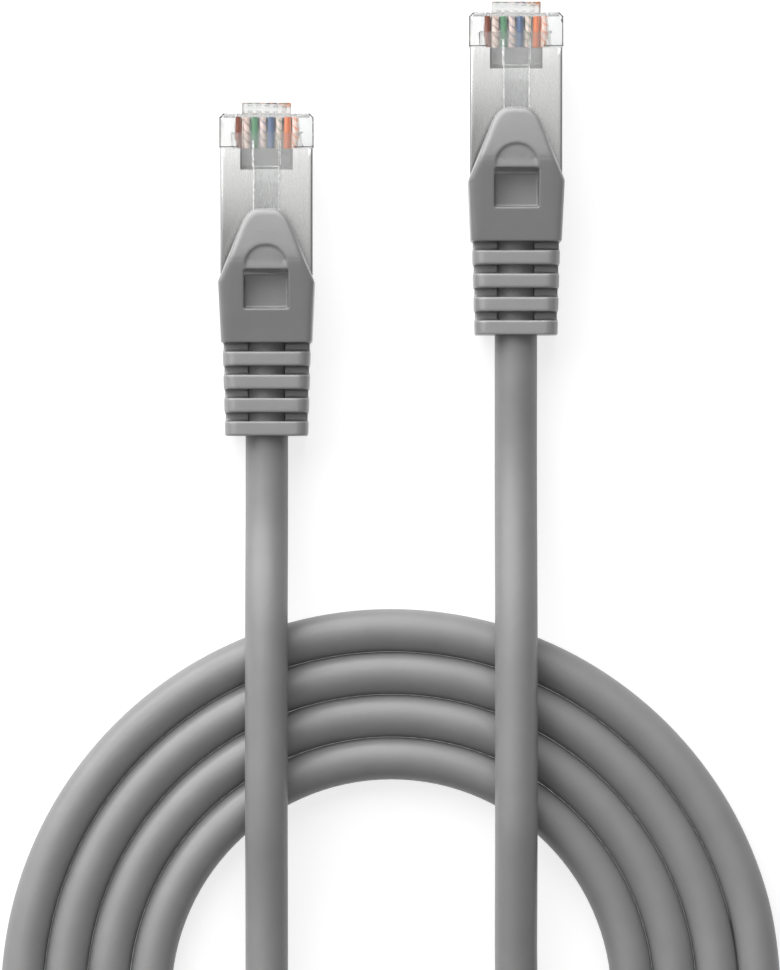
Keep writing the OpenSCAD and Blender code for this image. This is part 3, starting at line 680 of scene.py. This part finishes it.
def paint_shade_on_tray_and_bends(piece, side):
    """The tray under the latch and the outer bends get the darker shaded metal, as the shell's cut
    edges do: painted shade.
    """
    low, high = BEND_SIDEWAYS
    for polygon in piece.data.polygons:
        x, y, z = polygon.center / MM
        x -= PLUG_X[side]
        normal = polygon.normal
        over_tray = abs(x) < DIP_HALF and y > PLUG_REAR[side] + Y_DIP
        in_tray = over_tray and DIP_Z < z < NOSE_TOP - TRAY_RIM
        outwards = x * normal.x > 0 and low < abs(normal.x) < high
        if in_tray or (outwards and normal.z > BEND_UPWARDS):
            polygon.material_index = EDGE_INDEX


# ---- Bevelled copies of the other nodes ----

# Width of the bevel, slot, and material of the bevelled edges
BEVELS = {
    # the latch's bevelled edges take a painted highlight, kept only on the lever's lines
    "latch": (0.16, "clear_plastic", "painted_highlight_edge"),
    "load_bar": (0.05, "comb_plastic"),
    # the shell's bevelled edges take the darker shaded metal: painted shade
    "shield_shell": (0.06, "shell_metal", "shaded_metal"),
    "foil_shield": (0.02, "foil"),
    "jacket_end": (0.08, "jacket"),
    "drain_wire": (0.03, "tinned_copper"),
    "conductors": (0.04, "copper"),
}
CONTACT_BEVEL = 0.04
WIRE_BEVEL = 0.03
BEVEL_ANGLE = 30  # degrees
FLAT_ANGLE = 0.5  # degrees, up to which neighbouring faces become one
# the lever's bright edges are a painted highlight
SIDE_FACING = 0.3  # least sideways part of the normals on the lever's bright edges


def keep_lever_edges(piece, side):
    """Leaves the painted highlight only on the lines along the lever, and the latch's other edges
    clear.
    """
    for polygon in piece.data.polygons:
        beside = abs(polygon.center.x / MM - PLUG_X[side]) > LEVER_HALF
        if abs(polygon.normal.x) < SIDE_FACING or beside:
            polygon.material_index = MAIN_INDEX


def bevelled(node, width, slot_name, edge_name=None):
    """Copy of a CAD node with its sharp edges rounded, riding where the node does."""
    side = node[-1]
    bm = node_mesh(node)
    flat = math.radians(FLAT_ANGLE)
    bmesh.ops.dissolve_limit(bm, angle_limit=flat, verts=bm.verts, edges=bm.edges)
    if slot_name == "shell_metal":
        bow_sheet(bm, side)
    mesh = bpy.data.meshes.new(node + "_piece")
    bm.to_mesh(mesh)
    bm.free()
    piece = add_object(node + "_piece", mesh)
    finish_with(piece, slot_name)
    bevel = piece.modifiers.new("bevel", "BEVEL")
    bevel.width = width * MM
    bevel.segments = 2
    bevel.limit_method = "ANGLE"
    bevel.angle_limit = math.radians(BEVEL_ANGLE)
    if edge_name:
        mesh.materials.append(MATERIALS[edge_name])
        bevel.material = EDGE_INDEX
    apply_modifiers(piece)
    if slot_name == "clear_plastic":
        keep_lever_edges(piece, side)
    smooth_between_edges(piece, BEVELLED_SHARP)
    if slot_name == "shell_metal":
        paint_shade_on_tray_and_bends(piece, side)
        lean_sheen(piece, side)
    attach(piece, body_of_node(node))
    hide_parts(node)


# ---- Boot and hood: one soft skin ----

SLACK = 0.01  # takes in the points on the body's back face
LAP = 0.05  # by which the joining parts reach into the solids
# Parts that join a boot to its hood, cut from the hull of both: x, y and z, from and to
JOINING = [
    # the arms beside the pocket, over the room left for the hinge
    (-BOOT_W / 2, -POCKET_HALF, HINGE_Y - 2, HINGE_Y + 1.1, WALL_TOP - LAP, HOOD_TOP),
    (POCKET_HALF, BOOT_W / 2, HINGE_Y - 2, HINGE_Y + 1.1, WALL_TOP - LAP, HOOD_TOP),
    # the pocket's floor
    (
        -POCKET_HALF - 0.15, POCKET_HALF + 0.15, HINGE_Y - 2, Y_BODY_FRONT + LAP,
        WALL_TOP - 0.3, POCKET_Z
    ),
    # the web between that floor and the hood
    (
        -POCKET_HALF - 0.2, POCKET_HALF + 0.2, Y_BODY_FRONT - 1, Y_BODY_FRONT + 0.85,
        WALL_TOP - LAP, WALL_TOP + 0.27
    ),
]
PAD_R, PAD_Y = 2.65, 20.95
PAD_BASE, PAD_BACK = 11.2, 11.8  # heights under the pad and at its back
PAD_RISE = 0.04  # slope of its face towards the front
PAD_STEPS = 24

SKIN_VOXEL = 0.12
SKIN_SMOOTH = 11  # rounds of smoothing
SKIN_KEEP = 0.4  # share of the faces left after thinning
FOLDED = 0.4  # cosine between a triangle's normal and a corner's, below which it is a fold
RELAX_ROUNDS = 5

CREST_SOFT = 0.13
HOOD_FALL = 0.45  # at the hood's tip
FALL_FOOT = 9  # height at which the fall begins to take effect


def hull_mesh(points):
    """Convex hull of the points."""
    bm = bmesh.new()
    for point in points:
        bm.verts.new(point)
    bmesh.ops.convex_hull(bm, input=bm.verts)
    bmesh.ops.delete(bm, geom=[v for v in bm.verts if not v.link_faces], context="VERTS")
    return bm


def clipped_hull(points, planes):
    """Hull of the points, cut by planes given as a point and the direction that is cut away."""
    for point, away in planes:
        bm = hull_mesh(points)
        geometry = bm.verts[:] + bm.edges[:] + bm.faces[:]
        bmesh.ops.bisect_plane(
            bm, geom=geometry, plane_co=point, plane_no=away, clear_outer=True
        )
        points = [v.co.copy() for v in bm.verts]
        bm.free()
    return hull_mesh(points)


def merge(bm, part):
    """Adds the part's faces to bm, and frees the part."""
    mesh = bpy.data.meshes.new("filler")
    part.to_mesh(mesh)
    part.free()
    bm.from_mesh(mesh)
    bpy.data.meshes.remove(mesh)


def arched_pad(side):
    """The pad in front of the pocket: a straight back, an arched front and a faint rise."""
    arch = [(-PAD_R, POCKET_FRONT), (PAD_R, POCKET_FRONT)]
    for i in range(PAD_STEPS + 1):
        turn = math.pi * i / PAD_STEPS
        arch.append((PAD_R * math.cos(turn), PAD_Y + PAD_R * math.sin(turn)))
    points = []
    for x, y in arch:
        for z in (PAD_BASE, PAD_BACK + (y - POCKET_FRONT) * PAD_RISE):
            points.append(on_plug(side, x, y, z))
    return hull_mesh(points)


def boot_volumes(side):
    """The boot and hood solids with the pad and what joins them, still overlapping."""
    solids = [frame["nodes"][part + side].data for part in ("boot_", "boot_tab_")]
    back = (PLUG_REAR[side] + Y_BODY_BACK - SLACK) * MM
    outside = [v.co.copy() for mesh in solids for v in mesh.vertices if v.co.y > back]
    bm = bmesh.new()
    for mesh in solids:
        bm.from_mesh(mesh)
    merge(bm, arched_pad(side))
    for x0, x1, y0, y1, z0, z1 in JOINING:
        low, high = on_plug(side, x0, y0, z0), on_plug(side, x1, y1, z1)
        planes = [(low, -axis) for axis in AXES] + [(high, axis) for axis in AXES]
        merge(bm, clipped_hull(outside, planes))
    return bm


def round_hood(mesh, side):
    """Rounds the crest between the boot's back and its hood; the hood falls off to its tip."""
    tilt = math.tan(math.radians(BACK_SLOPE))
    for vertex in mesh.vertices:
        y, z = vertex.co.y / MM - PLUG_REAR[side], vertex.co.z / MM
        slope = HOOD_TOP + (y - Y_CREST) * tilt
        top = min(HOOD_TOP, slope)
        if top < FALL_FOOT + 1:
            continue
        drop = CREST_SOFT * math.log(1 + math.exp(-abs(HOOD_TOP - slope) / CREST_SOFT))
        drop += HOOD_FALL * (max(0, y - Y_CREST) / (Y_HOOD - Y_CREST)) ** 2
        vertex.co.z -= max(0, min(1, (z - FALL_FOOT) / (top - FALL_FOOT))) * drop * MM


def relax_folds(mesh):
    """Evens out the few triangles that stand across the surface after thinning."""
    bm = bmesh.new()
    bm.from_mesh(mesh)
    for _ in range(RELAX_ROUNDS):
        bm.normal_update()
        folds = [f for f in bm.faces if min(f.normal.dot(v.normal) for v in f.verts) < FOLDED]
        corners = sorted({v for f in folds for v in f.verts}, key=lambda v: v.index)
        middles = []
        for vertex in corners:
            around = [edge.other_vert(vertex).co for edge in vertex.link_edges]
            middles.append(sum(around, Vector()) / len(around))
        for vertex, middle in zip(corners, middles):
            vertex.co = middle
    bm.to_mesh(mesh)
    bm.free()


def make_boot(side):
    """The boot and its hood as the one soft moulding that they are."""
    bm = boot_volumes(side)
    mesh = bpy.data.meshes.new("boot_skin_" + side)
    bm.to_mesh(mesh)
    bm.free()
    boot = add_object("boot_skin_" + side, mesh)
    remesh = boot.modifiers.new("remesh", "REMESH")
    remesh.mode = "VOXEL"
    remesh.voxel_size = SKIN_VOXEL * MM
    smooth = boot.modifiers.new("smooth", "SMOOTH")
    smooth.factor = 0.5
    smooth.iterations = SKIN_SMOOTH
    decimate = boot.modifiers.new("decimate", "DECIMATE")
    decimate.ratio = SKIN_KEEP
    apply_modifiers(boot)
    round_hood(boot.data, side)
    relax_folds(boot.data)
    for polygon in boot.data.polygons:
        polygon.use_smooth = True
    finish_with(boot, "boot_plastic")
    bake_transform(boot)
    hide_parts("boot_" + side, "boot_tab_" + side)


for side in SIDES:
    make_boot(side)
    make_housing(side)
    for part, settings in BEVELS.items():
        bevelled(f"{part}_{side}", *settings)
    for pin in range(1, 9):
        bevelled(f"contact_{pin}_{side}", CONTACT_BEVEL, "gold")
    for name in INSULATION:
        for wire in (name, "white_" + name):
            bevelled(f"wire_{wire}_{side}", WIRE_BEVEL, "insulation_" + wire)

# ---- Stage ----

WHITE_SEEN = 1.0  # the background as the camera and polished or clear surfaces see it
FLOOR_HALF = 3  # metres
FLOOR_LIFT = 0.75  # added to the floor there, so that only a soft shadow stays
WORLD_FILL = 0.3
WORLD_DIM = 0.3  # what polished surfaces see of the world on the side away from the key
DIM_UP_TO, WHITE_FROM = 0.42, 0.68  # cosines of the angle from the key
AIM = Vector((0, -0.033, 0))  # the middle of the picture


def most(tree, sources):
    """Largest of the sources."""
    result = sources[0]
    for source in sources[1:]:
        node = tree.nodes.new("ShaderNodeMath")
        node.operation = "MAXIMUM"
        tree.links.new(result, node.inputs[0])
        tree.links.new(source, node.inputs[1])
        result = node.outputs[0]
    return result


def make_floor():
    """Pale floor: it shows white to the camera and keeps the object's shadow."""
    mesh = bpy.data.meshes.new("floor")
    corners = [(x * FLOOR_HALF, y * FLOOR_HALF, 0) for x, y in ((-1, -1), (1, -1), (1, 1), (-1, 1))]
    mesh.from_pydata(corners, [], [(0, 1, 2, 3)])
    floor = add_object("floor", mesh)
    paint = Paint("floor", (0.42, 0.42, 0.42), 0.9, Specular_IOR_Level=0.0)
    path = paint.node("ShaderNodeLightPath").outputs
    rays = [path[kind] for kind in ("Is Camera Ray", "Is Glossy Ray", "Is Transmission Ray")]
    lift = paint.ramp(most(paint.tree, rays), 0, 1, 0, FLOOR_LIFT)
    paint.shader.inputs["Emission Color"].default_value = (1, 1, 1, 1)
    paint.link(lift, paint.shader.inputs["Emission Strength"])
    mesh.materials.append(paint.material)


def make_world():
    """White to the camera, an even fill, and for polished surfaces dimmer away from the key."""
    world = bpy.data.worlds.new("studio")
    bpy.context.scene.world = world
    world.use_nodes = True
    tree = world.node_tree

    def add(kind, inputs, **settings):
        node = tree.nodes.new(kind)
        for key, value in settings.items():
            setattr(node, key, value)
        for socket, value in inputs.items():
            if isinstance(value, bpy.types.NodeSocket):
                tree.links.new(value, node.inputs[socket])
            else:
                node.inputs[socket].default_value = value
        return node.outputs

    def mixed(factor, a, b):
        return add("ShaderNodeMix", {"Factor": factor, "A": a, "B": b})["Result"]

    path = add("ShaderNodeLightPath", {})
    sky = add("ShaderNodeTexCoord", {})["Generated"]
    key = direction(KEY_AZIMUTH, KEY_ELEVATION)
    towards = add("ShaderNodeVectorMath", {0: sky, 1: key}, operation="DOT_PRODUCT")["Value"]
    studio = add("ShaderNodeMapRange", {
        "Value": towards, "From Min": DIM_UP_TO, "From Max": WHITE_FROM,
        "To Min": WORLD_DIM, "To Max": WHITE_SEEN
    })["Result"]
    polished = most(tree, [path["Is Glossy Ray"], path["Is Transmission Ray"]])
    level = mixed(path["Is Camera Ray"], mixed(polished, WORLD_FILL, studio), WHITE_SEEN)
    background = tree.nodes["Background"]
    background.inputs["Color"].default_value = (1, 1, 1, 1)
    tree.links.new(level, background.inputs["Strength"])


def make_lamp(name, azimuth, elevation, distance, width, height, power):
    """Area lamp that looks at the middle of the picture; sizes in metres, power in watts."""
    data = bpy.data.lights.new(name, "AREA")
    data.shape = "RECTANGLE"
    data.size, data.size_y = width, height
    data.energy = power
    lamp = add_object(name, data)
    away = direction(azimuth, elevation)
    lamp.location = AIM + away * distance
    lamp.rotation_mode = "QUATERNION"
    lamp.rotation_quaternion = away.to_track_quat("Z", "Y")


make_floor()
make_world()
make_lamp("key", KEY_AZIMUTH, KEY_ELEVATION, distance=0.9, width=1.3, height=1.0, power=11)
make_lamp("strip", azimuth=-38, elevation=13, distance=0.9, width=1.3, height=0.28, power=4.2)
bpy.context.scene.view_settings.view_transform = "Standard"
